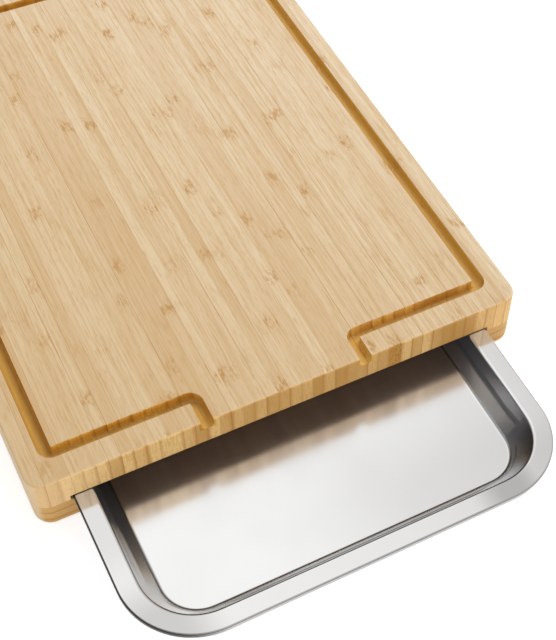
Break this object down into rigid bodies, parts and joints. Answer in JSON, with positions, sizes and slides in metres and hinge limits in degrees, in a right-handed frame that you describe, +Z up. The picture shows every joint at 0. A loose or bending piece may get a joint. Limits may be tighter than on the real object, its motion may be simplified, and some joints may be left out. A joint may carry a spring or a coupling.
{
  "type": "cutting board with drawer tray",
  "caption": "Laminated bamboo carving board with a juice groove, two spouts and a sheet steel tray that slides out under it.",
  "frame": {"origin": "on the table, under the middle of the box around the board and its partly open tray", "axes": "+X across the board to the right, +Y from the tray's front to the back, +Z up"},
  "size_m": [0.3, 0.503, 0.0425],
  "materials": {
    "bamboo_staves": "oiled vertical-grain bamboo",
    "bamboo_frame": "oiled flat-grain bamboo",
    "pressed_steel": "satin stainless steel",
    "rubber_feet": "matt soft rubber"
  },
  "bodies": {
    "board": {"stave_01": "bamboo_staves", "stave_02": "bamboo_staves", "stave_03": "bamboo_staves", "stave_04": "bamboo_staves", "stave_05": "bamboo_staves", "stave_06": "bamboo_staves", "stave_07": "bamboo_staves", "stave_08": "bamboo_staves", "stave_09": "bamboo_staves", "stave_10": "bamboo_staves", "stave_11": "bamboo_staves", "stave_12": "bamboo_staves", "stave_13": "bamboo_staves", "stave_14": "bamboo_staves", "stave_15": "bamboo_staves", "stave_16": "bamboo_staves", "stave_17": "bamboo_staves", "stave_18": "bamboo_staves", "stave_19": "bamboo_staves", "stave_20": "bamboo_staves", "stave_21": "bamboo_staves", "stave_22": "bamboo_staves", "stave_23": "bamboo_staves", "stave_24": "bamboo_staves", "stave_25": "bamboo_staves", "stave_26": "bamboo_staves", "stave_27": "bamboo_staves", "stave_28": "bamboo_staves", "stave_29": "bamboo_staves", "stave_30": "bamboo_staves", "stave_31": "bamboo_staves", "stave_32": "bamboo_staves", "stave_33": "bamboo_staves", "stave_34": "bamboo_staves", "stave_35": "bamboo_staves", "stave_36": "bamboo_staves", "stave_37": "bamboo_staves", "stave_38": "bamboo_staves", "stave_39": "bamboo_staves", "stave_40": "bamboo_staves", "stave_41": "bamboo_staves", "stave_42": "bamboo_staves", "left_spacer": "bamboo_staves", "right_spacer": "bamboo_staves", "back_spacer": "bamboo_frame", "left_rail_upper": "bamboo_frame", "right_rail_upper": "bamboo_frame", "back_rail_upper": "bamboo_frame", "left_rail_middle": "bamboo_frame", "right_rail_middle": "bamboo_frame", "back_rail_middle": "bamboo_frame", "left_rail_lower": "bamboo_frame", "right_rail_lower": "bamboo_frame", "back_rail_lower": "bamboo_frame", "foot_front_left": "rubber_feet", "foot_front_right": "rubber_feet", "foot_back_left": "rubber_feet", "foot_back_right": "rubber_feet"},
    "tray": {"tray": "pressed_steel"}
  },
  "joints": [
    {"name": "tray_slide", "type": "slide", "parent": "board", "child": "tray", "axis": [0, -1, 0], "range_m": [-0.1009, 0.2755]}
  ]
}
